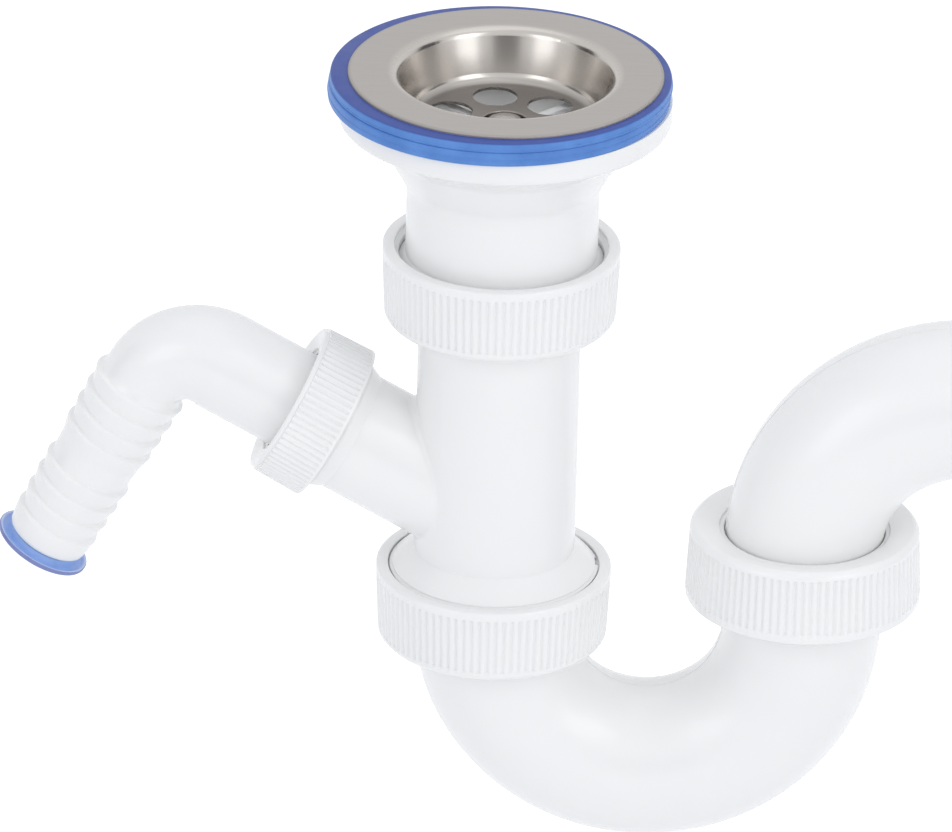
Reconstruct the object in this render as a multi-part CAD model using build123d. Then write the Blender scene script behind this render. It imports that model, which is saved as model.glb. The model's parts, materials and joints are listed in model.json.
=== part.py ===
from build123d import *
import math
import os

# Sink waste trap in white plastic: a strainer waste, a tee with a hose nozzle,
# a U-bend and an outlet bend, held together by ribbed slip nuts.
# Millimetres, +Z up. The origin is the sink seat, on the axis of the waste.
# +X runs along the U-bend towards the outlet, the nozzle is on the -X side.

# Pipes
pipe_d = 38.0
bend_pipe_slack = 0.8
nozzle_pipe_d = 23.8
pipe_wall = 2.2
nozzle_wall = 2.0

# Clearances
run_clear = 0.06
slip_clear = 0.5
face_clear = 0.1
cone_clear = 0.15

# Strainer cup, pressed from sheet
flange_d = 73.0
sheet = 0.7
flange_edge = 0.45
cup_mouth_d = 50.4
cup_lip_radius = 2.6
cup_floor_d = 43.0
cup_floor_radius = 3.0
cup_depth = 12.3
drain_holes = 6
drain_hole_d = 10.5
drain_circle_d = 27.0
drain_turn = 100.0
dimple_d = 10.4
dimple_drop = 1.2
dimple_edge = 0.3

# Strainer screw and its insert nut
screw_d = 6.0
screw_length = 24.0
screw_head_d = 9.0
screw_head_height = 1.5
screw_head_edge = 1.1
screw_slot = 1.4
screw_slot_depth = 0.9
insert_flats = 10.0
insert_height = 5.0

# Gaskets, as they lie when no sink sheet is clamped between them
gasket_d = 79.4
gasket_bore_d = 59.0
upper_gasket_thick = 2.2
lower_gasket_thick = 3.4
gasket_edge = 0.5
upper_gasket_shift = -1.1
lower_gasket_shift = -1.5

# Waste body
rim_d = 77.2
rim_height = 5.0
rim_edge = 1.5
rim_wall = 2.6
funnel_waist_d = 58.0
funnel_waist_drop = 5.4
funnel_drop = 11.5
funnel_blend = 7.0
funnel_foot = 8.0
waste_tube_wall = 2.9
waste_drop = 53.1
waste_thread_length = 9.0
spider_arms = 4
spider_turn = 45.0
spider_arm = 2.2
spider_height = 9.0
hub_d = 16.0
hub_height = 11.0
hub_gap = 1.5

# Large slip joints: threaded socket, cone seal and slip nut
socket_wall = 4.4
thread_length = 12.4
socket_depth = 14.0
spigot_depth = 12.5
flare_length = 4.7
mouth_cone = 3.2
nut_side = 3.8
nut_taper = 0.65
nut_height = 18.2
nut_wall = 3.2
nut_mouth = 1.0
nut_mouth_depth = 2.4
nut_lip = 2.0
nut_edge = 0.5
nut_cap = 1.5
nut_shoulder = 1.15
nut_dish = 2.2
nut_dish_depth = 1.0
nut_step = 0.8
nut_ribs = 90
rib_depth = 0.5
groove_root_share = 0.32
groove_top_share = 0.46
seal_thick = 2.6
seal_nose = 2.1
seal_flange = 0.8

# Small slip joint on the branch
branch_socket_wall = 3.5
branch_thread_length = 9.0
branch_socket_depth = 12.0
branch_spigot_depth = 10.5
branch_flare_length = 3.0
branch_cone = 2.7
branch_nut_side = 3.1
branch_nut_taper = 0.3
branch_nut_height = 13.2
branch_nut_wall = 2.8
branch_nut_mouth = 0.7
branch_nut_lip = 0.8
branch_nut_shoulder = 0.9
branch_nut_dish = 1.4
branch_nut_ribs = 72
branch_seal_thick = 2.2
branch_seal_nose = 1.8

# Tee
tee_drop = 82.6
tee_spigot = 19.0
branch_wall = 2.1
branch_angle = 28.0
branch_turn = 4.3
branch_height = 26.0
branch_reach = 50.9
branch_blend = 1.5

# U-bend and outlet bend
bend_radius = 36.5
bend_lead = 1.0
outlet_leg_rise = 20.2
outlet_radius = 37.5
outlet_spigot = 34.5
spigot_edge = 0.8

# Nozzle elbow with two groups of hose barbs
elbow_corner = 36.2
elbow_radius = 13.2
elbow_end_d = 20.0
barb_count = 4
barb_pitch = 5.0
barb_first = 15.5
barb_group_gap = 10.8
barb_crest_d = 22.9
barb_crest_end_d = 20.8
barb_height = 1.0
barb_step = 0.5
nozzle_tip_d = 19.3
nozzle_length = 62.3
nozzle_edge = 0.6

# Nozzle plug
plug_flange_d = 23.1
plug_flange_thick = 1.1
plug_rim = 1.0
plug_rim_height = 0.5
plug_stand = 1.6
plug_spigot_depth = 9.0
plug_edge = 0.8
plug_wall = 1.4

# Diameters that follow from the pipes
bend_pipe_d = pipe_d - bend_pipe_slack
bore_d = pipe_d + 2 * slip_clear
waste_tube_d = bore_d + 2 * waste_tube_wall
thread_d = bore_d + 2 * socket_wall
mouth_cone_d = pipe_d + 2 * mouth_cone
seal_d = mouth_cone_d + 2 * seal_flange
nut_d = thread_d + 2 * nut_side
nut_closed_d = nut_d - 2 * nut_taper
nut_mouth_d = thread_d + 2 * nut_mouth
nut_face_d = nut_closed_d - 2 * nut_shoulder
nut_dish_d = pipe_d + 2 * nut_dish
branch_bore_d = nozzle_pipe_d + 2 * slip_clear
branch_d = branch_bore_d + 2 * branch_wall
branch_thread_d = branch_bore_d + 2 * branch_socket_wall
branch_cone_d = nozzle_pipe_d + 2 * branch_cone
branch_seal_d = branch_cone_d + 2 * seal_flange
branch_nut_d = branch_thread_d + 2 * branch_nut_side
branch_nut_closed_d = branch_nut_d - 2 * branch_nut_taper
branch_nut_mouth_d = branch_thread_d + 2 * branch_nut_mouth
branch_nut_face_d = branch_nut_closed_d - 2 * branch_nut_shoulder
branch_nut_dish_d = nozzle_pipe_d + 2 * branch_nut_dish

# Places that follow from the sizes
flange_top = upper_gasket_thick + sheet
cup_floor_top = flange_top - cup_depth
rim_top = -lower_gasket_thick
rim_bottom = rim_top - rim_height
waste_mouth = -waste_drop
nut_seat = seal_thick + 2 * face_clear
nut_open = nut_seat + nut_wall - nut_height
branch_nut_seat = branch_seal_thick + 2 * face_clear
branch_nut_open = branch_nut_seat + branch_nut_wall - branch_nut_height
pipe_r = pipe_d / 2
bend_pipe_r = bend_pipe_d / 2
nozzle_pipe_r = nozzle_pipe_d / 2
trap_mouth = waste_mouth - tee_drop
bend_centre = trap_mouth - nut_seat + bend_lead
outlet_x = 2 * bend_radius
outlet_mouth = bend_centre + outlet_leg_rise
outlet_start = outlet_mouth + nut_seat - bend_lead
outlet_axis = outlet_start + outlet_radius
branch_origin = trap_mouth + branch_height
elbow_corner_reach = branch_reach + elbow_corner
hub_top = cup_floor_top - sheet - hub_gap
bore_r = bore_d / 2

# Joint frames: local Z leaves the socket's mouth, along the spigot
inlet_joint = Plane((0, 0, waste_mouth), x_dir=(1, 0, 0), z_dir=(0, 0, -1))
trap_joint = Plane((0, 0, trap_mouth), x_dir=(1, 0, 0), z_dir=(0, 0, -1))
outlet_joint = Plane((outlet_x, 0, outlet_mouth), x_dir=(1, 0, 0), z_dir=(0, 0, 1))
tilt = math.radians(branch_angle)
turn = math.radians(branch_turn)
away = Vector(-math.cos(turn), math.sin(turn), 0)
branch_dir = away * math.cos(tilt) + Vector(0, 0, math.sin(tilt))
nozzle_dir = away * math.sin(tilt) - Vector(0, 0, math.cos(tilt))
branch_frame = Plane((0, 0, branch_origin), x_dir=nozzle_dir, z_dir=branch_dir)
branch_joint = branch_frame.offset(branch_reach)
nozzle_origin = branch_frame.origin + branch_dir * elbow_corner_reach
nozzle_frame = Plane(nozzle_origin, x_dir=branch_dir, z_dir=nozzle_dir)


def turned(*outline):
    """Body of revolution about Z from (radius, height) points, with an optional corner radius."""
    face = make_face(Polyline(*[point[:2] for point in outline], close=True))
    for point in outline:
        if len(point) == 3:
            corner = face.vertices().sort_by_distance((point[0], point[1], 0))[0]
            face = fillet(corner, point[2])
    return revolve(Plane.XZ * face, Axis.Z)


def rod(radius, low, high):
    """Plain cylinder about Z between two heights."""
    return Pos(0, 0, low) * Cylinder(radius, high - low, align=(Align.CENTER, Align.CENTER, Align.MIN))


def spigot(radius, low, high):
    """Pipe end about Z with an eased edge at its upper end."""
    return turned((0, low), (radius, low), (radius, high, spigot_edge), (0, high))


def rib_groove(open_r, lean, low, high, ribs):
    """One groove between two ribs of a nut whose side leans in, on its +X side."""
    pitch = 2 * math.pi * open_r / ribs
    root = pitch * groove_root_share / 2
    top = pitch * groove_top_share / 2
    foot = Plane(
        (open_r - rib_depth, 0, low), x_dir=(0, -1, 0), z_dir=(-math.sin(lean), 0, math.cos(lean))
    )
    section = Polyline((-root, 0), (root, 0), (top, 2 * rib_depth), (-top, 2 * rib_depth), close=True)
    return extrude(foot * make_face(section), (high - low) / math.cos(lean))


def slip_nut(open_d, closed_d, height, wall, mouth_d, thread, face_d, dish_d, hole_d, ribs, lip, rib_end):
    """Slip nut about Z: open end at zero, closed and dished end at its height."""
    open_r = open_d / 2
    closed_r = closed_d / 2
    mouth_r = mouth_d / 2
    dish_r = dish_d / 2
    hole_r = hole_d / 2
    thread_r = thread / 2 + run_clear
    rib_top = height - nut_cap
    ledge = height - nut_dish_depth
    lead = nut_mouth_depth + mouth_r - thread_r
    blank = turned(
        (mouth_r, 0), (open_r, 0, nut_edge), (open_r, lip), (closed_r, rib_top, nut_edge),
        (face_d / 2, height, nut_edge), (dish_r, ledge), (dish_r, ledge - nut_step),
        (hole_r, ledge - nut_step), (hole_r, height - wall), (thread_r, height - wall),
        (thread_r, lead), (mouth_r, nut_mouth_depth),
    )
    lean = math.atan2(open_r - closed_r, rib_top - lip)
    groove = rib_groove(open_r, lean, lip, rib_end, ribs)
    return blank - [Rot(0, 0, 360 / ribs * rib) * groove for rib in range(ribs)]


def cone_seal(spigot_d, outer_d, thick, nose, cone_d):
    """Cone seal about Z: nose inside the socket's mouth, flat back against the nut."""
    inner_r = spigot_d / 2 + run_clear
    back = face_clear + thick
    cone_r = cone_d / 2 - cone_clear
    return turned(
        (inner_r, back), (outer_d / 2, back), (outer_d / 2, face_clear),
        (cone_r, face_clear), (cone_r - nose, -nose + face_clear), (inner_r, -nose + face_clear),
    )


def socket_cut(spigot_d, cone_d, depth):
    """Room inside a socket for its spigot, with the cone at the mouth for the seal."""
    hole_r = spigot_d / 2 + slip_clear
    cone_r = cone_d / 2
    return turned((0, 0), (cone_r, 0), (hole_r, hole_r - cone_r), (hole_r, -depth), (0, -depth))


def threaded_socket(pipe, thread, length, flare):
    """Outside of a socket: its thread's crest line and the flare down to the pipe."""
    low = -length - flare
    return turned((0, 0), (thread / 2, 0), (thread / 2, -length), (pipe / 2, low), (0, low))


def turned_bar(radius, corner, bend_r, direction, angle):
    """Round bar that leaves a corner point along Z and turns about the Y direction."""
    section = Pos(*corner) * Circle(radius)
    centre = Vector(*corner) + Vector(bend_r, 0, 0)
    return revolve(section, Axis(centre, (0, direction, 0)), angle)


# Strainer cup
def strainer_cup():
    mouth_r = cup_mouth_d / 2
    floor_r = cup_floor_d / 2
    flat = flange_top
    floor = cup_floor_top
    dimple_r = dimple_d / 2
    hole_r = screw_d / 2 + slip_clear
    lean = math.atan2(mouth_r - floor_r, cup_depth)
    outward = sheet * (1 / math.cos(lean) - math.tan(lean))
    skin = turned(
        (hole_r, floor - dimple_drop),
        (dimple_r - dimple_edge, floor - dimple_drop),
        (dimple_r, floor, dimple_edge),
        (floor_r, floor, cup_floor_radius),
        (mouth_r, flat, cup_lip_radius),
        (flange_d / 2, flat, flange_edge),
        (flange_d / 2, flat - sheet),
        (mouth_r + outward, flat - sheet, cup_lip_radius - sheet),
        (floor_r + outward, floor - sheet, cup_floor_radius + sheet),
        (dimple_r + sheet, floor - sheet),
        (dimple_r + sheet - dimple_edge, floor - sheet - dimple_drop),
        (hole_r, floor - sheet - dimple_drop),
    )
    drills = [
        Rot(0, 0, drain_turn + 360 / drain_holes * step)
        * Pos(drain_circle_d / 2, 0, 0)
        * rod(drain_hole_d / 2, floor - 2 * sheet, floor + sheet)
        for step in range(drain_holes)
    ]
    return skin - drills


# Strainer screw: slotted head in the dimple, shank through the hub's insert nut
def strainer_screw():
    seat = cup_floor_top - dimple_drop + face_clear
    head_r = screw_head_d / 2
    top = seat + screw_head_height
    head = turned((0, seat), (head_r, seat), (head_r, top, screw_head_edge), (0, top))
    shank = rod(screw_d / 2, seat - screw_length, seat)
    slot_low = top - screw_slot_depth
    slot = Pos(0, 0, slot_low) * Box(
        screw_head_d, screw_slot, screw_head_height, align=(Align.CENTER, Align.CENTER, Align.MIN)
    )
    return head + shank - slot


# Brass insert nut in the hub of the waste body
def insert_nut():
    low = hub_top - hub_height
    hexagon = Pos(0, 0, low) * RegularPolygon(insert_flats / 2, 6, major_radius=False)
    return extrude(hexagon, insert_height) - rod(screw_d / 2 + run_clear, low, low + insert_height)


# Gaskets
def gasket(low, high, shift):
    ring = turned(
        (gasket_bore_d / 2, low), (gasket_d / 2, low, gasket_edge),
        (gasket_d / 2, high, gasket_edge), (gasket_bore_d / 2, high),
    )
    return Pos(shift, 0, 0) * ring


# Waste body: rim, funnel, tube with its thread, and the spider that takes the screw
def waste_body():
    rim_r = rim_d / 2
    tube_r = waste_tube_d / 2
    thread_r = thread_d / 2
    waist = rim_bottom - funnel_waist_drop
    foot = waist - funnel_drop
    thread_top = waste_mouth + waste_thread_length
    outside = turned(
        (0, rim_top), (rim_r, rim_top), (rim_r, rim_bottom, rim_edge),
        (funnel_waist_d / 2, waist, funnel_blend), (tube_r, foot, funnel_foot),
        (tube_r, thread_top + thread_r - tube_r), (thread_r, thread_top),
        (thread_r, waste_mouth), (0, waste_mouth),
    )
    inside = turned(
        (0, rim_top), (gasket_bore_d / 2, rim_top), (gasket_bore_d / 2, rim_bottom + rim_wall),
        (funnel_waist_d / 2 - rim_wall, waist), (bore_r, foot - rim_wall),
        (bore_r, waste_mouth), (0, waste_mouth),
    )
    hub = rod(hub_d / 2, hub_top - hub_height, hub_top)
    arm_low = hub_top - spider_height
    arms = [
        Rot(0, 0, spider_turn + 360 / spider_arms * arm)
        * Pos(0, 0, arm_low)
        * Box(rim_r, spider_arm, spider_height, align=(Align.MIN, Align.CENTER, Align.MIN))
        for arm in range(spider_arms)
    ]
    low = hub_top - hub_height
    seat = Pos(0, 0, low) * RegularPolygon(insert_flats / 2 + face_clear, 6, major_radius=False)
    pocket = extrude(seat, insert_height)
    screw_room = rod(screw_d / 2 + slip_clear, low, hub_top)
    shell = outside - inside - inlet_joint * socket_cut(pipe_d, mouth_cone_d, socket_depth)
    spider = ((hub + arms) & outside) - pocket - screw_room
    return shell + spider


# Tee: spigot up into the waste, branch to the nozzle, threaded socket down to the U-bend
def tee():
    top = waste_mouth + tee_spigot
    run_low = trap_mouth + thread_length + flare_length
    run = spigot(pipe_r, run_low, top)
    run_end = trap_joint * threaded_socket(pipe_d, thread_d, thread_length, flare_length)
    branch_r = branch_d / 2
    arm = branch_frame * rod(branch_r, 0, branch_reach)
    arm_end = branch_joint * threaded_socket(
        branch_d, branch_thread_d, branch_thread_length, branch_flare_length
    )
    outside = run + run_end + arm
    plain = (GeomType.CIRCLE, GeomType.LINE)
    saddle = outside.edges().filter_by(lambda edge: edge.geom_type not in plain)
    outside = fillet(saddle, branch_blend) + arm_end
    run_bore = rod(pipe_r - pipe_wall, trap_mouth, top)
    arm_bore = branch_frame * rod(nozzle_pipe_r - nozzle_wall, 0, branch_reach)
    sockets = trap_joint * socket_cut(bend_pipe_d, mouth_cone_d, socket_depth)
    arm_socket = branch_joint * socket_cut(nozzle_pipe_d, branch_cone_d, branch_socket_depth)
    return outside - run_bore - arm_bore - sockets - arm_socket


# U-bend: plain spigot up into the tee, threaded socket up to the outlet bend
def u_bend():
    spigot_top = trap_mouth + spigot_depth
    socket_low = outlet_mouth - thread_length - flare_length
    corner = (0, 0, bend_centre)
    leg = Pos(outlet_x, 0, 0)
    bore = bend_pipe_r - pipe_wall
    outside = spigot(bend_pipe_r, bend_centre, spigot_top)
    outside += turned_bar(bend_pipe_r, corner, bend_radius, -1, 180)
    outside += leg * rod(bend_pipe_r, bend_centre, socket_low)
    outside += outlet_joint * threaded_socket(bend_pipe_d, thread_d, thread_length, flare_length)
    inside = rod(bore, bend_centre, spigot_top)
    inside += turned_bar(bore, corner, bend_radius, -1, 180)
    inside += leg * rod(bore, bend_centre, outlet_mouth)
    inside += outlet_joint * socket_cut(bend_pipe_d, mouth_cone_d, socket_depth)
    return outside - inside


# Outlet bend: spigot down into the U-bend, quarter bend, straight spigot to the drain
def outlet_bend():
    low = outlet_mouth - spigot_depth
    corner = (outlet_x, 0, outlet_start)
    down = Plane(corner, x_dir=(1, 0, 0), z_dir=(0, 0, -1))
    across = Plane((outlet_x + outlet_radius, 0, outlet_axis), x_dir=(0, 1, 0), z_dir=(1, 0, 0))
    bore = bend_pipe_r - pipe_wall
    outside = down * spigot(bend_pipe_r, 0, outlet_start - low)
    outside += turned_bar(bend_pipe_r, corner, outlet_radius, 1, 90)
    outside += across * spigot(bend_pipe_r, 0, outlet_spigot)
    inside = down * rod(bore, 0, outlet_start - low)
    inside += turned_bar(bore, corner, outlet_radius, 1, 90)
    inside += across * rod(bore, 0, outlet_spigot)
    return outside - inside


# Nozzle elbow: spigot into the branch, tapering quarter bend, hose barbs
def barb_outline():
    """Outline of the nozzle along its axis, from the bend's end to the tip."""
    group_length = barb_pitch * (barb_count - 1)
    starts = (barb_first, barb_first + group_length + barb_group_gap)
    crests = [start + barb_pitch * tooth for start in starts for tooth in range(barb_count)]
    slope = (barb_crest_end_d - barb_crest_d) / 2 / (crests[-1] - crests[0])
    points = [(elbow_end_d / 2, elbow_radius)]
    for number, place in enumerate(crests):
        crest_r = barb_crest_d / 2 + slope * (place - crests[0])
        root_r = crest_r - barb_height
        points.append((root_r, place - barb_step))
        points.append((crest_r, place))
        if number + 1 == barb_count:
            points.append((root_r, place + barb_pitch - barb_step))
    points.append((nozzle_tip_d / 2, nozzle_length - nozzle_edge))
    points.append((nozzle_tip_d / 2 - nozzle_edge, nozzle_length))
    return points


def nozzle_elbow():
    spigot_low = branch_reach - branch_spigot_depth
    bend_low = elbow_corner_reach - elbow_radius
    start_bore_r = nozzle_pipe_r - nozzle_wall
    tip_bore_r = nozzle_tip_d / 2 - nozzle_wall

    def run(start_r, end_r):
        centre = Vector(elbow_radius, 0, bend_low)
        middle = centre + Vector(-math.sqrt(0.5), 0, math.sqrt(0.5)) * elbow_radius
        path = ThreePointArc((0, 0, bend_low), middle, (elbow_radius, 0, elbow_corner_reach))
        first = Pos(0, 0, bend_low) * Circle(start_r)
        end = Plane((elbow_radius, 0, elbow_corner_reach), x_dir=(0, 0, 1), z_dir=(1, 0, 0))
        last = end * Circle(end_r)
        return rod(start_r, spigot_low, bend_low) + sweep([first, last], path, multisection=True)

    outside = branch_frame * run(nozzle_pipe_r, elbow_end_d / 2)
    barbs = nozzle_frame * turned((0, elbow_radius), *barb_outline(), (0, nozzle_length))
    inside = branch_frame * run(start_bore_r, tip_bore_r)
    inside += nozzle_frame * rod(tip_bore_r, elbow_radius, nozzle_length)
    return outside + barbs - inside


# Nozzle plug: hollow spigot in the nozzle's bore, flange with a raised rim off its tip
def nozzle_plug():
    spigot_r = nozzle_tip_d / 2 - nozzle_wall - run_clear
    nose = nozzle_length - plug_spigot_depth
    seat = nozzle_length + plug_stand
    back = seat + plug_flange_thick
    flange_r = plug_flange_d / 2
    rim_in = flange_r - plug_rim
    solid = turned(
        (0, nose), (spigot_r, nose, plug_edge), (spigot_r, seat), (rim_in, seat),
        (rim_in, seat - plug_rim_height), (flange_r, seat - plug_rim_height), (flange_r, back), (0, back),
    )
    hollow = rod(spigot_r - plug_wall, nose + plug_wall, back)
    return nozzle_frame * (solid - hollow)


big_nut = slip_nut(
    nut_d, nut_closed_d, nut_height, nut_wall, nut_mouth_d, thread_d,
    nut_face_d, nut_dish_d, bore_d, nut_ribs, nut_lip, nut_height - nut_cap - nut_edge,
)
small_nut = slip_nut(
    branch_nut_d, branch_nut_closed_d, branch_nut_height, branch_nut_wall, branch_nut_mouth_d,
    branch_thread_d, branch_nut_face_d, branch_nut_dish_d, branch_bore_d, branch_nut_ribs,
    branch_nut_lip, branch_nut_height,
)
tee_seal = cone_seal(pipe_d, seal_d, seal_thick, seal_nose, mouth_cone_d)
bend_seal = cone_seal(bend_pipe_d, seal_d, seal_thick, seal_nose, mouth_cone_d)
small_seal = cone_seal(nozzle_pipe_d, branch_seal_d, branch_seal_thick, branch_seal_nose, branch_cone_d)

parts = {
    "strainer_cup": strainer_cup(),
    "strainer_screw": strainer_screw(),
    "insert_nut": insert_nut(),
    "upper_gasket": gasket(0, upper_gasket_thick, upper_gasket_shift),
    "lower_gasket": gasket(-lower_gasket_thick, 0, lower_gasket_shift),
    "waste_body": waste_body(),
    "inlet_nut": inlet_joint.offset(nut_open) * big_nut,
    "inlet_seal": inlet_joint * tee_seal,
    "tee": tee(),
    "trap_nut": trap_joint.offset(nut_open) * big_nut,
    "trap_seal": trap_joint * bend_seal,
    "u_bend": u_bend(),
    "outlet_nut": outlet_joint.offset(nut_open) * big_nut,
    "outlet_seal": outlet_joint * bend_seal,
    "outlet_bend": outlet_bend(),
    "branch_nut": branch_joint.offset(branch_nut_open) * small_nut,
    "branch_seal": branch_joint * small_seal,
    "nozzle_elbow": nozzle_elbow(),
    "nozzle_plug": nozzle_plug(),
}

os.makedirs("parts", exist_ok=True)
for name, solid in parts.items():
    export_step(solid, f"parts/{name}.step")
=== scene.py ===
# %% [markdown]
# # A sink waste trap, dressed for its portrait
# The solids of the trap come ready made: pipes, nuts, seals, strainer and screw, each on the body
# it moves with. This lesson gives them their finishes, models again the pieces whose small forms
# show in a close look, and sets up the studio. Sizes are written in millimetres and turned to
# metres by one factor, because the frame is in metres.

# %% Load the frame
import json
import math

import bmesh
import bpy
from mathutils import Matrix, Vector


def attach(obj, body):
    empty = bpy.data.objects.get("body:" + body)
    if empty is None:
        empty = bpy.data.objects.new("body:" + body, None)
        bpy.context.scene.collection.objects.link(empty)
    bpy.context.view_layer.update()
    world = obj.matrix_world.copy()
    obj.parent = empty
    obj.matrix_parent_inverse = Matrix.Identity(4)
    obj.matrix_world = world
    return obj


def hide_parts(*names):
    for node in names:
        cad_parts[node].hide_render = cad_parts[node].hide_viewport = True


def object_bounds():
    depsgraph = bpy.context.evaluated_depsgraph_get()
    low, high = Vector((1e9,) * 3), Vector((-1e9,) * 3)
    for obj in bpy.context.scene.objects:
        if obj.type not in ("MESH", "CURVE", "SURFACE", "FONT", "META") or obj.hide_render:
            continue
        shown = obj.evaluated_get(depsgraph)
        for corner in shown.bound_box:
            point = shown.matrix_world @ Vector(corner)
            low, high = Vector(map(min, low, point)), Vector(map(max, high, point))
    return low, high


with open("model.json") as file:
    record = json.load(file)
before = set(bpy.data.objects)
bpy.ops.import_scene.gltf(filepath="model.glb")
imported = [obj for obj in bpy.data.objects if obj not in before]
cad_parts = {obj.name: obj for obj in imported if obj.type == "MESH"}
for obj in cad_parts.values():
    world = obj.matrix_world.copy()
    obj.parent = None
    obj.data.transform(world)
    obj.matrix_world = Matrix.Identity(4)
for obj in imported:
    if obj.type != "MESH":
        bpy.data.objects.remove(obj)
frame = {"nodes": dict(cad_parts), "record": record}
cad_low, cad_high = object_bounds()
nodes = frame["nodes"]
mm = 0.001
cad_size = [round((h - l) / mm, 1) for l, h in zip(cad_low, cad_high)]
print("CAD nodes:", len(nodes), "box in mm:", cad_size)

# %% [markdown]
# ## Colours and nodes
# Colours are picked as sRGB hex values, the way a paint program shows them. Shaders work
# in linear light, so one function converts. Two more add a shader node and feed its inputs in one
# go.

# %% Colours and shader nodes
def linear(hex_colour):
    """Linear RGBA of an sRGB hex colour."""
    parts = [int(hex_colour[i:i + 2], 16) / 255 for i in (1, 3, 5)]
    return [p / 12.92 if p <= 0.04045 else ((p + 0.055) / 1.055) ** 2.4 for p in parts] + [1.0]


def feed(tree, node, **inputs):
    """Sets inputs by name or as _number; each is a value or another node's output socket."""
    for key, value in inputs.items():
        name = int(key[1:]) if key[1:].isdigit() else key.replace("_", " ")
        if isinstance(value, bpy.types.NodeSocket):
            tree.links.new(value, node.inputs[name])
        else:
            node.inputs[name].default_value = value


def add(tree, kind, settings=None, **inputs):
    """A new shader node with its settings and its inputs."""
    made = tree.nodes.new("ShaderNode" + kind)
    for key, value in (settings or {}).items():
        setattr(made, key, value)
    feed(tree, made, **inputs)
    return made


def new_material(name):
    """A material with only its output and its principled shader."""
    made = bpy.data.materials.new(name)
    made.use_nodes = True
    return made, made.node_tree, made.node_tree.nodes["Principled BSDF"]


print("white is", [round(c, 3) for c in linear("#ffffff")])

# %% [markdown]
# All finishes share a few groups of nodes: noise with patches of a given size, a value mapped
# from one range to another, a ramp between two colours, a mix of two colours, and a bump. Noise
# lies on Object coordinates, so its size is real and it stays with the piece.

# %% Groups that all finishes share
def object_place(tree):
    """The place on the object, in metres."""
    return add(tree, "TexCoord").outputs["Object"]


def noise(tree, place, size, detail):
    """Noise with patches about size metres wide."""
    return add(tree, "TexNoise", Vector=place, Scale=1 / size, Detail=detail).outputs["Fac"]


def span(tree, value, low, high, to_low=0.0, to_high=1.0):
    """The value mapped from low to high onto to_low to to_high."""
    return add(tree, "MapRange", Value=value, From_Min=low, From_Max=high,
               To_Min=to_low, To_Max=to_high).outputs["Result"]


def two_tones(tree, value, low, dark, high, light):
    """A colour that goes from dark, where the value is low, to light, where it is high."""
    ramp = add(tree, "ValToRGB", Fac=value)
    first, last = ramp.color_ramp.elements
    first.position, first.color = low, linear(dark)
    last.position, last.color = high, linear(light)
    return ramp.outputs["Color"]


def blend(tree, share, first, second):
    """A colour between two, each a value or a socket."""
    return add(tree, "Mix", {"data_type": "RGBA"}, _0=share, _6=first, _7=second).outputs[2]


def bump(tree, height, strength, depth, **below):
    """A normal bent by the height; below may hold the normal of a coarser bump."""
    return add(tree, "Bump", Height=height, Strength=strength, Distance=depth,
               **below).outputs["Normal"]


slots = sorted({row["material_slot"] for row in frame["record"]["subparts"]})
print("finishes to make:", slots)

# %% [markdown]
# ## White pipe plastic
# Pipes and nuts of this kind are moulded in white polypropylene. Straight from a polished mould
# the surface is glossy but a little soft, with a faint waviness from shrinking and a slight milky
# depth, as light enters the plastic and comes out again close by. Noise gives the waviness at
# about 9 mm and a fine mould grain at about 0.5 mm.

# %% Moulded polypropylene
def moulded_polypropylene():
    cloud_size, wave_size, grain_size = 30 * mm, 9 * mm, 0.5 * mm
    wave_depth, grain_depth = 0.05 * mm, 0.02 * mm
    made, tree, shader = new_material("moulded_polypropylene_white")
    place = object_place(tree)
    clouds = noise(tree, place, cloud_size, 2.0)
    wavy = bump(tree, noise(tree, place, wave_size, 1.0), 0.2, wave_depth)
    grainy = bump(tree, noise(tree, place, grain_size, 1.0), 0.03, grain_depth, Normal=wavy)
    feed(tree, shader, Base_Color=two_tones(tree, clouds, 0.0, "#f2f2f2", 1.0, "#f6f6f5"),
         Roughness=span(tree, clouds, 0.0, 1.0, 0.23, 0.29), Normal=grainy, IOR=1.49)
    feed(tree, shader, Subsurface_Weight=0.15, Subsurface_Radius=(1.0, 1.0, 1.0),
         Subsurface_Scale=1.0 * mm)
    return made


white_plastic = moulded_polypropylene()
print("made", white_plastic.name)

# %% [markdown]
# ## Blue rubber
# The gaskets and seals are moulded rubber with a satin skin that picks up a little dust, so noise
# lightens them in patches and breaks up the gloss. The top of the upper gasket is painted a
# darker,
# more violet tone: painted shade, as its top faces get less light than its side, with the
# flange's shadow at its edge.

# %% Moulded rubber
def moulded_rubber():
    dust_size, grain_size, grain_depth = 6 * mm, 0.4 * mm, 0.03 * mm
    # Heights between which the upper gasket's top turns to painted shade
    top_shade_from, top_shade_full = 1.85 * mm, 2.18 * mm
    made, tree, shader = new_material("moulded_rubber_blue")
    place = object_place(tree)
    dust = noise(tree, place, dust_size, 4.0)
    side = two_tones(tree, dust, 0.35, "#4c80ca", 0.75, "#5c90d8")
    height = add(tree, "SeparateXYZ", Vector=place).outputs["Z"]
    # Painted shade: the top of the upper gasket darkens to a violet blue, for its top faces'
    # lesser light and the flange's shadow
    top_shade = span(tree, height, top_shade_from, top_shade_full)
    grain = noise(tree, place, grain_size, 2.0)
    feed(tree, shader, Base_Color=blend(tree, top_shade, side, linear("#2c489b")),
         Roughness=span(tree, dust, 0.3, 0.7, 0.38, 0.5),
         Normal=bump(tree, grain, 0.2, grain_depth), IOR=1.5)
    return made


blue_rubber = moulded_rubber()
print("made", blue_rubber.name)
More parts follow.
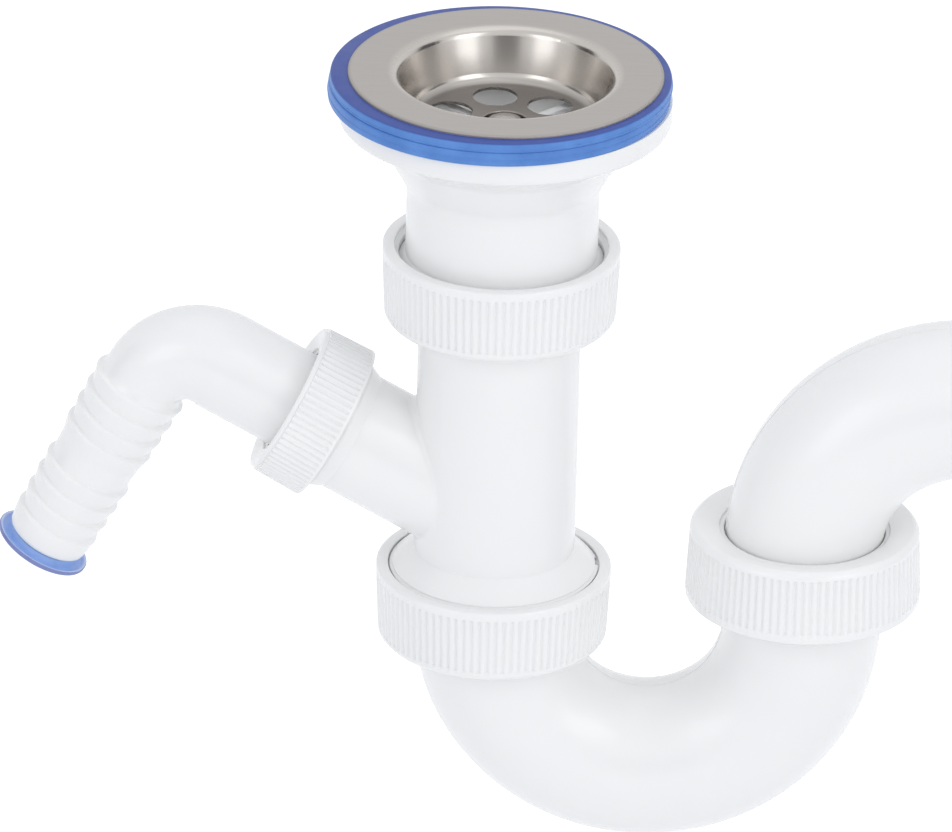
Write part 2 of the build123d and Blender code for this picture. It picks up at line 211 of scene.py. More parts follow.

# %% [markdown]
# ## Blue stopper plastic
# The stopper is soft polyethylene: thin, and lit from inside, which subsurface scattering gives.
# Its edge has a darker copy of the finish, painted shade for the edge seen through more plastic,
# and the bead beside the edge, which catches the light, has a paler one, a painted highlight.

# %% Soft polyethylene
def soft_polyethylene(name, dark, light):
    flow_size = 5 * mm
    made, tree, shader = new_material(name)
    flow = noise(tree, object_place(tree), flow_size, 2.0)
    feed(tree, shader, Base_Color=two_tones(tree, flow, 0.3, dark, 0.7, light),
         Roughness=span(tree, flow, 0.3, 0.7, 0.36, 0.44), IOR=1.51)
    feed(tree, shader, Subsurface_Weight=0.4, Subsurface_Radius=(0.6, 0.8, 1.0),
         Subsurface_Scale=1.5 * mm)
    return made


blue_plastic = soft_polyethylene("soft_polyethylene_blue", "#92b3e8", "#a0beee")
# Darker copy: painted shade on the flange's outside; paler copy: painted highlight on the bead
blue_edge_shade = soft_polyethylene("soft_polyethylene_blue_edge_painted_shade", "#7580b4", "#828dbf")
blue_bead_highlight = soft_polyethylene("soft_polyethylene_blue_bead_painted_highlight", "#bccaf0", "#c8d4f4")
print("made", [finish.name for finish in (blue_plastic, blue_edge_shade, blue_bead_highlight)])

# %% [markdown]
# ## Brass
# The insert nut in the hub of the waste is turned brass, with fine rings left by the tool.

# %% Turned brass
def turned_brass():
    ring_size, waves_per_unit = 0.25 * mm, 20
    made, tree, shader = new_material("turned_brass")
    rings = add(tree, "TexWave", {"bands_direction": "Z"}, Vector=object_place(tree),
                Scale=1 / ring_size / waves_per_unit, Distortion=0.6).outputs["Fac"]
    feed(tree, shader, Base_Color=linear("#c9a452"), Metallic=1.0,
         Roughness=span(tree, rings, 0.0, 1.0, 0.24, 0.34))
    return made


brass = turned_brass()
print("made", brass.name)

# %% [markdown]
# ## Stainless steel
# The strainer is stamped from sheet. Its flat flange keeps the fine satin grain of the sheet, and
# the drawn cup is polished bright by the press. The distance from the axis tells the two apart:
# past the lip the surface is rougher and carries grain lines. Real grain is about 0.05 mm wide,
# too fine for this picture, so it is drawn at 0.25 mm. The cut edge of the flange is dull. The
# cup's floor is painted darker than its wall: painted shade at the bottom of the cup.

# %% Pressed stainless steel
def pressed_stainless():
    lip_in, lip_out, edge_in, edge_out = 25.5 * mm, 27.5 * mm, 35.7 * mm, 36.1 * mm
    wall_foot, floor_edge = -8.0 * mm, -9.3 * mm
    grain_long, grain_wide, grain_depth = 12 * mm, 0.25 * mm, 0.02 * mm
    made, tree, shader = new_material("pressed_stainless_steel")
    place = object_place(tree)
    flat = add(tree, "VectorMath", {"operation": "MULTIPLY"}, _0=place, _1=(1, 1, 0))
    reach = add(tree, "VectorMath", {"operation": "LENGTH"}, _0=flat.outputs["Vector"])
    flange = span(tree, reach.outputs["Value"], lip_in, lip_out)
    edge = span(tree, reach.outputs["Value"], edge_in, edge_out)
    along = add(tree, "Mapping", Vector=place,
                Scale=(1 / grain_long, 1 / grain_wide, 1 / grain_long))
    grain = noise(tree, along.outputs["Vector"], 1.0, 2.0)
    satin = span(tree, grain, 0.3, 0.7, 0.30, 0.42)
    gloss = add(tree, "Mix", _0=flange, _2=0.24, _3=satin).outputs[0]
    dulled = add(tree, "Mix", _0=edge, _2=gloss, _3=0.65).outputs[0]
    depth = add(tree, "SeparateXYZ", Vector=place).outputs["Z"]
    # Painted shade: darker from the foot of the cup's wall down to its floor, at the bottom of
    # the cup
    bottom = span(tree, depth, wall_foot, floor_edge)
    cup = blend(tree, bottom, linear("#c2beba"), linear("#8e8a87"))
    lines = add(tree, "Math", {"operation": "MULTIPLY"}, _0=grain, _1=flange).outputs["Value"]
    feed(tree, shader, Base_Color=blend(tree, flange, cup, linear("#aeaaa7")), Metallic=1.0,
         Roughness=dulled, Normal=bump(tree, lines, 0.08, grain_depth))
    return made


stainless = pressed_stainless()
print("made", stainless.name)

# %% [markdown]
# ## Finishes for the solids
# Every solid gets the finish of what it is made of. Pieces that are modelled again further down
# take the same finishes, and then the solid they stand for is hidden.

# %% Give every solid its finish
finishes = {
    "white_plastic": white_plastic,
    "blue_rubber": blue_rubber,
    "blue_plastic": blue_plastic,
    "stainless_steel": stainless,
    "brass": brass,
}
for row in frame["record"]["subparts"]:
    mesh = nodes[row["node"]].data
    mesh.materials.clear()
    mesh.materials.append(finishes[row["material_slot"]])

# %% [markdown]
# ## Turning pieces on a lathe
# Nuts, gaskets, the stopper and the screw are round, so each starts as half of its cut face: a
# flat outline of a few points. A vertex bevel rounds the corners that a mould would round, and
# spin turns the outline about Z. A place matrix then carries the piece to its joint, so the
# object itself stays at the origin, unturned.

# %% Outline and spin
about_z = {"axis": (0, 0, 1), "cent": (0, 0, 0)}


def outline_wire(points):
    """A closed wire of (radius, height) points in mm; a third number rounds that corner."""
    bm = bmesh.new()
    verts = [bm.verts.new((p[0] * mm, 0, p[1] * mm)) for p in points]
    bm.faces.new(verts)
    for vert, point in zip(verts, points):
        if len(point) == 3:
            bmesh.ops.bevel(bm, geom=[vert], offset=point[2] * mm, offset_type="OFFSET",
                            affect="VERTICES", segments=4, profile=0.5, material=-1)
    bmesh.ops.delete(bm, geom=bm.faces[:], context="FACES_ONLY")
    return bm


def spin_round(bm, steps):
    """Turns a wire about Z all the way and closes it."""
    bmesh.ops.spin(bm, geom=bm.verts[:] + bm.edges[:], angle=2 * math.pi, steps=steps,
                   use_merge=True, **about_z)
    bmesh.ops.remove_doubles(bm, verts=bm.verts[:], dist=0.001 * mm)
    return bm


print("the lathe turns about", about_z["axis"])

# %% [markdown]
# A finished mesh is moved to its place and made an object. Edges that turn by less than 38
# degrees are shaded smooth, and sharper ones stay crisp. The piece then rides on the body that it
# moves with, has the material slot of the real piece, and replaces the plain solid, if there is
# one.

# %% Finish a piece and place it
sharp_from = math.radians(38)


def mesh_object(bm, name, material):
    """Makes a bmesh an object of the scene."""
    mesh = bpy.data.meshes.new(name)
    bm.to_mesh(mesh)
    bm.free()
    mesh.materials.append(material)
    made = bpy.data.objects.new(name, mesh)
    bpy.context.scene.collection.objects.link(made)
    return made


def finish_piece(bm, name, body, node, slot, place=None):
    """Puts the mesh in place, makes it an object on its body and gives it its finish."""
    bmesh.ops.recalc_face_normals(bm, faces=bm.faces[:])
    if place is not None:
        bmesh.ops.transform(bm, matrix=place, verts=bm.verts[:])
    for face in bm.faces:
        face.smooth = True
    for edge in bm.edges:
        edge.smooth = len(edge.link_faces) == 2 and edge.calc_face_angle(0) < sharp_from
    made = mesh_object(bm, name, finishes[slot])
    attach(made, body)
    if node:
        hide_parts(node)
    print(name, "on", body, len(made.data.polygons), "faces")
    return made


def only(kind, geometry):
    """The vertices or the faces among what a bmesh operator returns."""
    return [g for g in geometry if isinstance(g, kind)]


def frame_at(origin, z_dir, x_dir):
    """Place matrix of a joint: local Z and X in the trap's frame, origin in mm."""
    z = Vector(z_dir).normalized()
    x = (Vector(x_dir) - z * z.dot(Vector(x_dir))).normalized()
    axes = Matrix((x, z.cross(x), z)).transposed().to_4x4()
    return Matrix.Translation(Vector(origin) * mm) @ axes


print("edges are sharp from", round(math.degrees(sharp_from)), "degrees")

# %% [markdown]
# ## Where the joints are
# The same main sizes as the solids, in millimetres: the waste's axis is Z, the U-bend runs along
# X, and the branch rises to the left at 28 degrees with the nozzle hanging square to it.

# %% Joint frames
waste_mouth, trap_mouth, outlet_mouth = -53.1, -135.7, -117.3
outlet_x, outlet_start, outlet_radius, outlet_end = 73.0, -115.5, 37.5, 145.0
branch_origin, branch_reach, elbow_corner = -109.7, 50.9, 87.1
tilt, turn = math.radians(28.0), math.radians(4.3)
away = Vector((-math.cos(turn), math.sin(turn), 0))
branch_dir = away * math.cos(tilt) + Vector((0, 0, math.sin(tilt)))
nozzle_dir = away * math.sin(tilt) - Vector((0, 0, math.cos(tilt)))
branch_foot = Vector((0, 0, branch_origin))
branch_end = branch_foot + branch_dir * branch_reach
corner = branch_foot + branch_dir * elbow_corner
inlet_joint = frame_at((0, 0, waste_mouth), (0, 0, -1), (1, 0, 0))
trap_joint = frame_at((0, 0, trap_mouth), (0, 0, -1), (1, 0, 0))
outlet_joint = frame_at((outlet_x, 0, outlet_mouth), (0, 0, 1), (1, 0, 0))
branch_joint = frame_at(branch_end, branch_dir, nozzle_dir)
elbow_frame = frame_at(corner, branch_dir, nozzle_dir)
nozzle_frame = frame_at(corner, nozzle_dir, branch_dir)
print("nozzle points", [round(v, 3) for v in nozzle_dir])

# %% [markdown]
# ## Ribbed slip nuts
# A slip nut is gripped by hand, so its side is covered in ribs with soft edges that fade out
# under a smooth shoulder. One rib is modelled as a narrow sector: the outline turned by one pitch
# in eight steps, with the columns of the groove pushed in. Spin with duplicates then sets the
# sector round.

# %% One nut from one rib
groove_steps = (1.0, 1.0, 0.55, 0.05, 0.0, 0.0, 0.05, 0.55)
rib_depth, rib_fade, side_margin = 0.5, 0.45, 0.1
dish_depth, ledge_depth, mouth_depth, thread_depth = 1.0, 1.6, 1.0, 1.8


def slip_nut(open_r, closed_r, height, wall, mouth_r, thread_r, face_r, dish_r, hole_r, ribs,
             rib_low, rib_high, shoulder):
    """Slip nut about Z: open end at zero, dished end at its height."""
    drop = (open_r - closed_r) / (rib_high - rib_low)
    rib_heights = (rib_low, rib_low + rib_fade, rib_high - rib_fade, rib_high)
    bm = outline_wire([
        (mouth_r, 0, 0.3), (open_r, 0, 0.5),
        *((open_r - drop * (z - rib_low), z) for z in rib_heights),
        *shoulder, (face_r, height, 0.5),
        (dish_r, height - dish_depth, 0.25), (dish_r, height - ledge_depth),
        (hole_r, height - ledge_depth, 0.3), (hole_r, height - wall),
        (thread_r, height - wall), (thread_r, thread_depth), (mouth_r, mouth_depth),
    ])
    pitch = 2 * math.pi / ribs
    steps = len(groove_steps)
    bmesh.ops.spin(bm, geom=bm.verts[:] + bm.edges[:], angle=pitch, steps=steps, **about_z)
    for vert in bm.verts:
        z, r = vert.co.z / mm, vert.co.xy.length / mm
        on_side = r > open_r - drop * (z - rib_low) - side_margin
        if on_side and rib_low + rib_fade / 2 < z < rib_high - rib_fade / 2:
            column = round(math.atan2(vert.co.y, vert.co.x) / pitch * steps) % steps
            vert.co.xy *= 1 - rib_depth * groove_steps[column] / r
    bmesh.ops.spin(bm, geom=bm.verts[:] + bm.edges[:] + bm.faces[:], angle=2 * math.pi - pitch,
                   steps=ribs - 1, use_duplicate=True, **about_z)
    bmesh.ops.remove_doubles(bm, verts=bm.verts[:], dist=0.002 * mm)
    return bm


print("ribs are", rib_depth, "mm deep")

# %% [markdown]
# Three nuts are one size, and the branch nut is smaller. Each is set on its joint so that its
# open end reaches back over the thread.

# %% Four nuts on their joints
big_nut = {
    "open_r": 27.7, "closed_r": 27.05, "height": 18.2, "wall": 3.2, "mouth_r": 24.9,
    "thread_r": 23.96, "face_r": 25.9, "dish_r": 20.1, "hole_r": 19.0, "ribs": 90,
    "rib_low": 2.0, "rib_high": 16.2, "shoulder": [(27.05, 16.9, 0.45)],
}
small_nut = {
    "open_r": 19.0, "closed_r": 18.7, "height": 13.2, "wall": 2.8, "mouth_r": 16.6,
    "thread_r": 15.96, "face_r": 17.8, "dish_r": 13.3, "hole_r": 12.4, "ribs": 72,
    "rib_low": 0.8, "rib_high": 11.9, "shoulder": [(18.25, 12.0), (18.25, 12.8, 0.2)],
}
big_reach, small_reach = 12.2, 8.0
for name, sizes, joint, reach in (
    ("inlet_nut", big_nut, inlet_joint, big_reach),
    ("trap_nut", big_nut, trap_joint, big_reach),
    ("outlet_nut", big_nut, outlet_joint, big_reach),
    ("branch_nut", small_nut, branch_joint, small_reach),
):
    place = joint @ Matrix.Translation((0, 0, -reach * mm))
    finish_piece(slip_nut(**sizes), name + "_ribbed", name, name, "white_plastic", place)

# %% [markdown]
# ## Thread starts
# Between the mouth of a nut and the socket in it the first turn of the thread shows. A small
# triangle turned with a rise per step is a screw thread: spin takes that rise as dvec.

# %% Thread ridges at the mouths
thread_foot_r, thread_crest_r, thread_half = 23.75, 24.6, 0.35
thread_low, thread_rise, thread_turns, steps_per_turn = -11.85, 0.3, 0.97, 72


def thread_start():
    """A helical ridge about Z."""
    bm = bmesh.new()
    section = [(thread_foot_r, thread_low - thread_half), (thread_crest_r, thread_low),
               (thread_foot_r, thread_low + thread_half)]
    bm.faces.new([bm.verts.new((r * mm, 0, z * mm)) for r, z in section])
    steps = round(steps_per_turn * thread_turns)
    bmesh.ops.spin(bm, geom=bm.verts[:] + bm.edges[:] + bm.faces[:], steps=steps,
                   angle=2 * math.pi * thread_turns,
                   dvec=(0, 0, thread_rise * thread_turns / steps * mm), **about_z)
    return bm


for name, body, joint in (
    ("tee_thread", "tee", trap_joint),
    ("bend_thread", "u_bend", outlet_joint),
):
    finish_piece(thread_start(), name, body, None, "white_plastic", joint)

# %% [markdown]
# ## Gaskets
# The two gaskets lie on each other under the flange, a little off centre. Each has soft edges
# and, low on its side, the fine ridge that the mould's two halves leave. The upper one has small
# nibs where the rubber was let in.

# %% Two gaskets with mould lines
gasket_in_r, gasket_r, gasket_steps = 29.5, 39.5, 160
ridge_r, ridge_half = 39.7, 0.22
upper_top, gasket_split, lower_foot = 2.2, 0.0, -3.4
upper_seam, lower_seam = 0.55, -1.9
nib_r, nib_stretch = 0.32, (0.8, 2.2, 0.8)
nib_angles = (-152, -118, -63, -20, 40, 95, 150)


def gasket(low, high, seam):
    """Flat ring between two heights, with a mould ridge at the height seam."""
    return spin_round(outline_wire([
        (gasket_in_r, low), (gasket_r + 0.05, low, 0.35),
        (gasket_r, seam - ridge_half), (ridge_r, seam, 0.08), (gasket_r, seam + ridge_half),
        (gasket_r - 0.05, high, 0.45), (gasket_in_r, high),
    ]), gasket_steps)


def add_nib(bm, angle, seam):
    """A small flat bump on the ridge, where the rubber entered the mould."""
    nib = bmesh.ops.create_uvsphere(bm, u_segments=10, v_segments=6, radius=nib_r * mm)["verts"]
    bmesh.ops.scale(bm, vec=nib_stretch, verts=nib)
    bmesh.ops.translate(bm, vec=(gasket_r * mm, 0, seam * mm), verts=nib)
    swing = Matrix.Rotation(math.radians(angle), 3, "Z")
    bmesh.ops.rotate(bm, cent=(0, 0, 0), matrix=swing, verts=nib)


upper = gasket(gasket_split, upper_top, upper_seam)
lower = gasket(lower_foot, gasket_split, lower_seam)
for angle in nib_angles:
    add_nib(upper, angle, upper_seam)
for ring, node, shift in ((upper, "upper_gasket", -1.1), (lower, "lower_gasket", -1.5)):
    finish_piece(ring, node + "_moulded", "waste", node, "blue_rubber",
                 Matrix.Translation((shift * mm, 0, 0)))

# %% [markdown]
# ## Nozzle elbow with hose barbs
# The elbow narrows as it turns, then runs into a straight nozzle with two groups of four barbs.
# Its outside and its bore are two skins: a ring of points turned a quarter round the elbow's
# centre, each ring then scaled to the taper. The straight part is one turned outline. A ring of
# faces between the open rims of both skins at each end makes one closed wall.

# %% Barb outline
spigot_r, spigot_bore_r, spigot_low = 11.9, 9.9, -46.7
bend_r, nozzle_r, bore_r, nozzle_end = 13.2, 10.0, 7.65, 62.3
first_barb, second_group, barb_pitch, group_size = 15.5, 41.3, 5.0, 4
barb_r, barb_taper, barb_depth, barb_rise = 11.45, 1.05 / 40.8, 1.0, 0.6
neck_length, tip_r, tip_chamfer = 4.5, 9.65, 0.6


def barb_points():
    """(radius, distance) points along the nozzle's axis, barb crests rounded."""
    points = [(nozzle_r, bend_r)]
    crests = [start + barb_pitch * k for start in (first_barb, second_group)
              for k in range(group_size)]
    for number, place in enumerate(crests, 1):
        crest = barb_r - barb_taper * (place - first_barb)
        points += [(crest - barb_depth, place - barb_rise, 0.15), (crest, place, 0.22)]
        if number == group_size:
            points += [(crest - barb_depth, place + neck_length, 0.6)]
    tip = [(tip_r, nozzle_end - tip_chamfer, 0.3), (tip_r - tip_chamfer, nozzle_end, 0.3)]
    return points + tip


print("barb outline of", len(barb_points()), "points")

# %% [markdown]
# The elbow's skin starts as a circle at the spigot's end. Extruding its edges makes the straight
# spigot, and spin turns the last ring round the bend. The nozzle's skin is the barb outline
# turned about X.

# %% Skins of the elbow and the nozzle
ring_steps, bend_steps = 64, 24
z_to_x = Matrix(((0, 0, 1), (1, 0, 0), (0, 1, 0))).to_4x4()


def elbow_skin(start_r, end_r):
    """Open skin of the elbow: straight from the spigot's end, then a narrowing quarter turn."""
    bm = bmesh.new()
    ring = bmesh.ops.create_circle(bm, cap_ends=False, segments=ring_steps, radius=start_r * mm)
    bmesh.ops.translate(bm, vec=(0, 0, spigot_low * mm), verts=ring["verts"])
    top = only(bmesh.types.BMVert, bmesh.ops.extrude_edge_only(bm, edges=bm.edges[:])["geom"])
    bmesh.ops.translate(bm, vec=(0, 0, (-bend_r - spigot_low) * mm), verts=top)
    rim = [e for e in bm.edges if all(v in top for v in e.verts)]
    centre = Vector((bend_r * mm, 0, -bend_r * mm))
    bmesh.ops.spin(bm, geom=top + rim, cent=centre, axis=(0, 1, 0), angle=math.pi / 2,
                   steps=bend_steps)
    for vert in bm.verts:
        arm = vert.co - centre
        angle = math.atan2(arm.z, -arm.x)
        if angle > 0.001:  # past the straight spigot
            middle = centre + Vector((-math.cos(angle), 0, math.sin(angle))) * bend_r * mm
            share = 1 + (end_r / start_r - 1) * angle / (math.pi / 2)
            vert.co = middle + (vert.co - middle) * share
    return bm


def nozzle_skin(points):
    """Open skin of the straight nozzle, turned about X from (radius, distance) points."""
    bm = outline_wire([(0, points[0][1]), *points, (0, points[-1][1])])
    on_axis = [v for v in bm.verts if v.co.x < 0.01 * mm]
    bmesh.ops.delete(bm, geom=on_axis, context="VERTS")
    bmesh.ops.transform(bm, matrix=z_to_x, verts=bm.verts[:])
    bmesh.ops.spin(bm, geom=bm.verts[:] + bm.edges[:], cent=(0, 0, 0), axis=(1, 0, 0),
                   angle=2 * math.pi, steps=ring_steps, use_merge=True)
    return bm


skins = [
    elbow_skin(spigot_r, nozzle_r), nozzle_skin(barb_points()),
    elbow_skin(spigot_bore_r, bore_r), nozzle_skin([(bore_r, bend_r), (bore_r, nozzle_end)]),
]
print("skins of the elbow:", [len(skin.faces) for skin in skins], "faces")

# %% [markdown]
# The four skins go into one mesh and are welded where they meet. At each end the points of the
# outer and the inner rim are sorted by their angle and joined pair by pair, so the ring cannot
# twist.

# %% One closed wall
rim_margin = 0.05


def close_end(bm, at_end, angle):
    """Joins the outer and the inner rim at one end by a ring of faces, matched by their angle."""
    rims = {v for e in bm.edges if len(e.link_faces) == 1 for v in e.verts if at_end(v)}
    middle = sum((v.co for v in rims), Vector()) / len(rims)
    by_reach = sorted(rims, key=lambda v: (v.co - middle).length)
    inner, outer = [sorted(rim, key=lambda v: angle(v.co - middle))
                    for rim in (by_reach[:ring_steps], by_reach[ring_steps:])]
    for k in range(ring_steps):
        bm.faces.new((outer[k - 1], outer[k], inner[k], inner[k - 1]))


elbow = bmesh.new()
for skin in skins:
    part = bpy.data.meshes.new("skin")
    skin.to_mesh(part)
    skin.free()
    elbow.from_mesh(part)
    bpy.data.meshes.remove(part)
bmesh.ops.remove_doubles(elbow, verts=elbow.verts[:], dist=0.01 * mm)
close_end(elbow, lambda v: v.co.z < (spigot_low + rim_margin) * mm,
          lambda arm: math.atan2(arm.y, arm.x))
close_end(elbow, lambda v: v.co.x > (nozzle_end - rim_margin) * mm,
          lambda arm: math.atan2(arm.z, arm.y))
print("open edges left on the elbow:", sum(len(e.link_faces) != 2 for e in elbow.edges))
finish_piece(elbow, "nozzle_elbow_barbed", "nozzle", "nozzle_elbow", "white_plastic", elbow_frame)

# %% [markdown]
# ## Stopper
# The stopper keeps the nozzle shut until a hose is put on. It is a thin cup pushed into the bore
# with a flange to pull it by, and the flange's edge is turned up into a small bead. The bead is
# painted paler on the nozzle's side, a painted highlight, and darker on the outside, painted
# shade.

# %% Stopper with a beaded flange
plug_foot, plug_floor, plug_r, plug_in_r = 53.3, 54.7, 7.59, 6.19
collar_r, collar_low = 8.7, 62.6
flange_face, flange_back, flange_r = 64.1, 65.0, 11.5
bead_crest, bead_in_r, bead_out_r, bead_back = 63.65, 10.6, 11.3, 64.3
stopper = spin_round(outline_wire([
    (0, plug_foot), (plug_r, plug_foot, 0.7), (plug_r, 62.5),
    (collar_r, collar_low, 0.25), (collar_r + 0.2, flange_face + 0.05, 0.3),
    (10.5, flange_face, 0.2), (10.95, bead_crest, 0.2), (flange_r + 0.05, bead_crest + 0.05, 0.2),
    (flange_r, 64.6, 0.25), (11.0, flange_back, 0.3), (6.7, flange_back, 0.3),
    (plug_in_r, 64.5), (plug_in_r, plug_floor, 0.5), (0, plug_floor),
]), 96)
# Faces past the bead get the darker copy, painted shade, and the bead's faces on the nozzle's
# side get the paler copy, a painted highlight
for face in stopper.faces:
    centre = face.calc_center_median()
    if centre.xy.length > bead_out_r * mm:
        face.material_index = 1
    elif centre.xy.length > bead_in_r * mm and centre.z < bead_back * mm:
        face.material_index = 2
toned = sum(face.material_index > 0 for face in stopper.faces)
made = finish_piece(stopper, "nozzle_stopper", "plug", "nozzle_plug", "blue_plastic",
                    nozzle_frame)
made.data.materials.append(blue_edge_shade)
made.data.materials.append(blue_bead_highlight)
print("bead faces of the stopper:", toned)

# %% [markdown]
# ## Strainer screw
# The screw has a domed head with one slot. The whole screw is turned, two cuts along the dome
# mark the slot's sides, and the faces between them are pushed down, which leaves straight walls.

# %% Domed screw with a slot
shank_r, shank_end, head_r, head_foot, dome_foot, dome_top = 3.0, -34.6, 4.5, -10.6, -10.2, -8.45
slot_half, slot_depth, slot_turn = 0.7, 1.1, -38
screw = spin_round(outline_wire([
    (0, shank_end), (shank_r, shank_end, 0.5), (shank_r, head_foot), (head_r, head_foot),
    (head_r, -10.1, 0.2), (4.2, -9.5, 0.3), (3.4, -8.95, 0.3), (2.2, -8.6, 0.3), (0, dome_top),
]), 64)


def dome_faces():
    """The faces of the screw's dome."""
    return [f for f in screw.faces if f.calc_center_median().z > dome_foot * mm]


for side in (-1, 1):
    dome = dome_faces()
    edges = {e for f in dome for e in f.edges}
    corners = {v for f in dome for v in f.verts}
    bmesh.ops.bisect_plane(screw, geom=dome + list(edges) + list(corners), dist=0.001 * mm,
                           plane_co=(0, side * slot_half * mm, 0), plane_no=(0, 1, 0))
bottom = [f for f in dome_faces()
          if abs(f.calc_center_median().y) < slot_half * mm and f.normal.z > 0.2]
pushed = only(bmesh.types.BMVert, bmesh.ops.extrude_face_region(screw, geom=bottom)["geom"])
bmesh.ops.translate(screw, vec=(0, 0, -slot_depth * mm), verts=pushed)
print("faces at the slot's bottom:", len(bottom))
bmesh.ops.delete(screw, geom=bottom, context="FACES_ONLY")
finish_piece(screw, "strainer_screw_domed", "screw", "strainer_screw", "stainless_steel",
             Matrix.Rotation(math.radians(slot_turn), 4, "Z"))

# %% [markdown]
# ## Mould lines on the bends
# A bend comes out of a mould whose two halves meet in the plane of the bend, and a fine ridge
# stays along its back and its inside. A small triangle is swung round the bend's centre with
# spin, and the outlet's last triangle is pulled on along its straight end.

# %% Ridges along the bends
pipe_r, bend_x, bend_z = 18.6, 36.5, -137.5
line_tip, line_foot, line_half, line_steps, line_stop = 0.13, 0.06, 0.3, 48, 1.0


def mould_line(name, body, centre, radius, outward, start, sweep, run):
    """Ridge round a bend in the XZ plane; outward is +1 on its back, -1 on its inside."""
    bm = bmesh.new()
    tip, foot = radius + line_tip * outward, radius - line_foot * outward
    section = ((foot, -line_half), (tip, 0), (foot, line_half))
    bm.faces.new([bm.verts.new((r * mm, y * mm, 0)) for r, y in section])
    to_start = Matrix.Rotation(math.radians(start), 3, "Y")
    middle = Vector((centre[0], 0, centre[1])) * mm
    bmesh.ops.rotate(bm, cent=(0, 0, 0), matrix=to_start, verts=bm.verts[:])
    bmesh.ops.translate(bm, vec=middle, verts=bm.verts[:])
    swung = bmesh.ops.spin(bm, geom=bm.verts[:] + bm.edges[:] + bm.faces[:], cent=middle,
                           axis=(0, 1, 0), angle=math.radians(sweep), steps=line_steps)
    if run is not None:
        last = only(bmesh.types.BMFace, swung["geom_last"])
        pulled = bmesh.ops.extrude_face_region(bm, geom=last)["geom"]
        bmesh.ops.translate(bm, vec=Vector(run) * mm, verts=only(bmesh.types.BMVert, pulled))
        bmesh.ops.delete(bm, geom=last, context="FACES_ONLY")
    finish_piece(bm, name, body, None, "white_plastic")


outlet_centre = (outlet_x + outlet_radius, outlet_start)
straight = (outlet_end - outlet_centre[0] - line_stop, 0, 0)
for side, outward in (("back", 1), ("inside", -1)):
    mould_line("outlet_line_" + side, "outlet_bend", outlet_centre,
               outlet_radius + pipe_r * outward, outward, 180, 90, straight)
for side, outward in (("back", 1), ("inside", -1)):
    mould_line("bend_line_" + side, "u_bend", (bend_x, bend_z),
               bend_x + pipe_r * outward, outward, 0, 180, None)

# %% [markdown]
# ## Studio
# The trap hangs from a sink in use, so here it hangs just above a plain white floor, which keeps
# a soft shadow. The world is white to the camera and in reflections, and a cooler, dimmer white
# as light, so the shaded sides of the pipes turn a little blue.

# %% Floor and world
floor_gap, floor_half = 40 * mm, 6.0


def seen_by(tree, *rays):
    """1 for rays of the named kinds, 0 for all others."""
    path = add(tree, "LightPath")
    seen = path.outputs[rays[0]]
    for ray in rays[1:]:
        either = add(tree, "Math", {"operation": "MAXIMUM"}, _0=seen, _1=path.outputs[ray])
        seen = either.outputs[0]
    return seen


paper, tree, shader = new_material("white_paper_floor")
seen = seen_by(tree, "Is Camera Ray", "Is Glossy Ray")
glow = add(tree, "Math", {"operation": "MULTIPLY"}, _0=seen, _1=0.3).outputs[0]
feed(tree, shader, Base_Color=linear("#fdfdfd"), Roughness=0.9, Specular_IOR_Level=0.0,
     Emission_Color=linear("#ffffff"), Emission_Strength=glow)
bm = bmesh.new()
bmesh.ops.create_grid(bm, x_segments=1, y_segments=1, size=floor_half)
bmesh.ops.translate(bm, verts=bm.verts, vec=(0, 0, cad_low.z - floor_gap))
floor = mesh_object(bm, "floor", paper)

world = bpy.data.worlds.new("studio")
bpy.context.scene.world = world
world.use_nodes = True
tree = world.node_tree
seen = seen_by(tree, "Is Camera Ray", "Is Glossy Ray", "Is Transmission Ray")
backdrop = blend(tree, seen, linear("#dcdee2"), linear("#ffffff"))
feed(tree, tree.nodes["Background"], Color=backdrop)
print("floor at", round((cad_low.z - floor_gap) / mm, 1), "mm")

# %% [markdown]
# Large area lamps give soft edges. Thin white walls let some light through, which a weak lamp
# inside the waste stands for, so the drain holes look pale.

# %% Lamps
def facing(place, aim):
    """The turn that makes something at place face the point aim."""
    return (Vector(aim) - Vector(place)).to_track_quat("-Z", "Y")


def area_lamp(name, place, aim, width, height, power):
    """A soft lamp: a lit panel of width by height metres that faces the point aim."""
    lamp = bpy.data.lights.new(name, "AREA")
    lamp.shape, lamp.size, lamp.size_y, lamp.energy = "RECTANGLE", width, height, power
    made = bpy.data.objects.new(name, lamp)
    made.location = place
    made.rotation_euler = facing(place, aim).to_euler()
    bpy.context.scene.collection.objects.link(made)


glimmer_height = -32
middle = (cad_low + cad_high) / 2
area_lamp("key", (1.15, -1.2, 0.75), middle, 0.8, 1.2, 5.5)
area_lamp("fill", (-1.1, -1.25, 0.65), middle, 0.7, 1.1, 3.5)
area_lamp("top", (0.1, 0.1, 1.0), middle, 1.2, 0.8, 1.0)
through = bpy.data.lights.new("light_through_walls", "POINT")
through.energy, through.shadow_soft_size = 0.012, 6 * mm
glimmer = bpy.data.objects.new("light_through_walls", through)
glimmer.location = (0, 0, glimmer_height * mm)
glimmer.visible_camera = glimmer.visible_glossy = False
bpy.context.scene.collection.objects.link(glimmer)

# %% [markdown]
# Bright metal looks like metal only when it has something dark to mirror. Grey cards that only
# reflections see give the polished cup its dark bands.

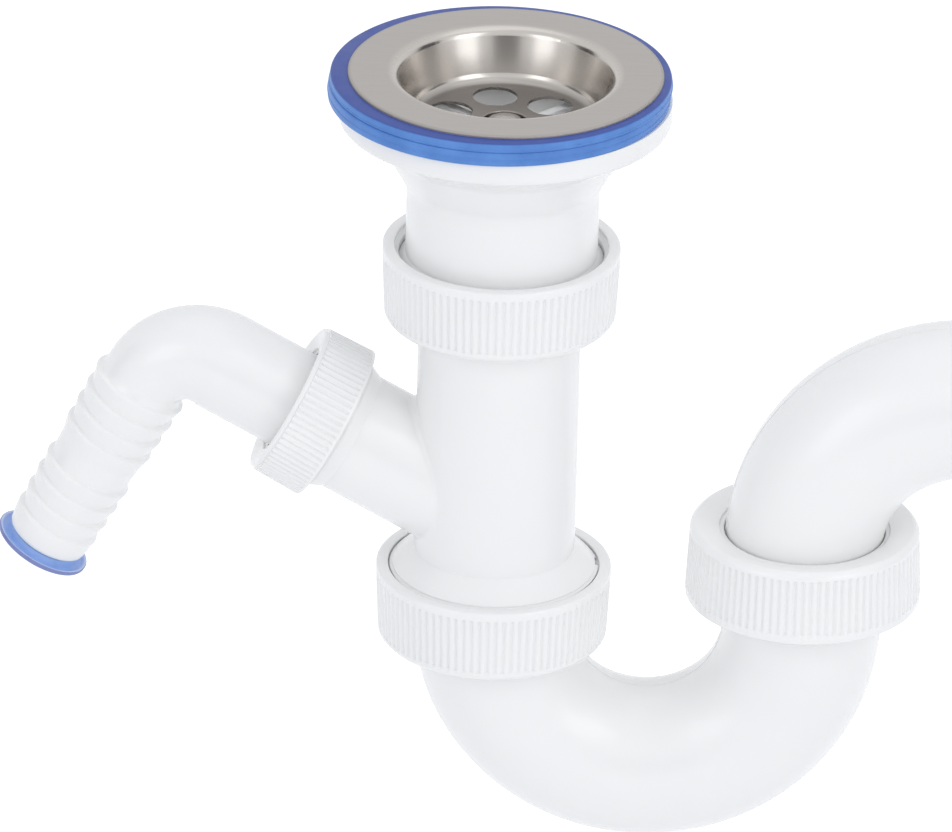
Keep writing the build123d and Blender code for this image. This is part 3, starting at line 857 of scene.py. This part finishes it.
# %% Cards
def dark_card(name, place, aim, width, height):
    """A grey card of width by height metres that faces aim and that only reflections see."""
    bm = bmesh.new()
    bmesh.ops.create_grid(bm, x_segments=1, y_segments=1, size=0.5)
    bmesh.ops.scale(bm, vec=(width, height, 1), verts=bm.verts[:])
    stand = Matrix.Translation(place) @ facing(place, aim).to_matrix().to_4x4()
    bmesh.ops.transform(bm, matrix=stand, verts=bm.verts[:])
    grey, tree, shader = new_material(name + "_grey")
    feed(tree, shader, Base_Color=linear("#2a2a2c"), Roughness=1.0)
    made = mesh_object(bm, name, grey)
    made.visible_camera = made.visible_diffuse = False
    made.visible_shadow = made.visible_transmission = False


dark_card("front_card", (0.0, -2.0, 0.15), middle, 1.0, 0.7)
dark_card("right_card", (2.1, 0.1, 0.45), middle, 1.0, 1.2)
dark_card("left_card", (-2.1, 0.1, 0.45), middle, 1.0, 1.2)

# %% [markdown]
# ## Camera
# The photo was taken from about 26 degrees above the horizon with a long lens, and the picture
# leans a degree and a half. The distance and the lens were fitted to the rims and the pipes'
# edges.

# %% Camera at the photo's angle
rise, lean, distance = math.radians(25.85), math.radians(1.4), 2.4
sensor, focal_pixels, picture_width = 36.0, 10250, 952
aim = Vector((-5.0, 0.0, -85.5)) * mm
back = Vector((0, -math.cos(rise), math.sin(rise)))
up = Vector((0, math.sin(rise), math.cos(rise)))
right = Vector((1, 0, 0))
leaned_right = right * math.cos(lean) + up * math.sin(lean)
leaned_up = up * math.cos(lean) - right * math.sin(lean)
view_axes = Matrix((leaned_right, leaned_up, back)).transposed().to_4x4()
lens = bpy.data.cameras.new("camera")
lens.sensor_width, lens.lens = sensor, focal_pixels / picture_width * sensor
lens.clip_end = 50.0
camera = bpy.data.objects.new("camera", lens)
camera.matrix_world = Matrix.Translation(aim + back * distance) @ view_axes
bpy.context.scene.collection.objects.link(camera)
bpy.context.scene.camera = camera
bpy.context.scene.view_settings.view_transform = "Standard"
print("camera", distance, "m away, lens", round(lens.lens, 1), "mm")
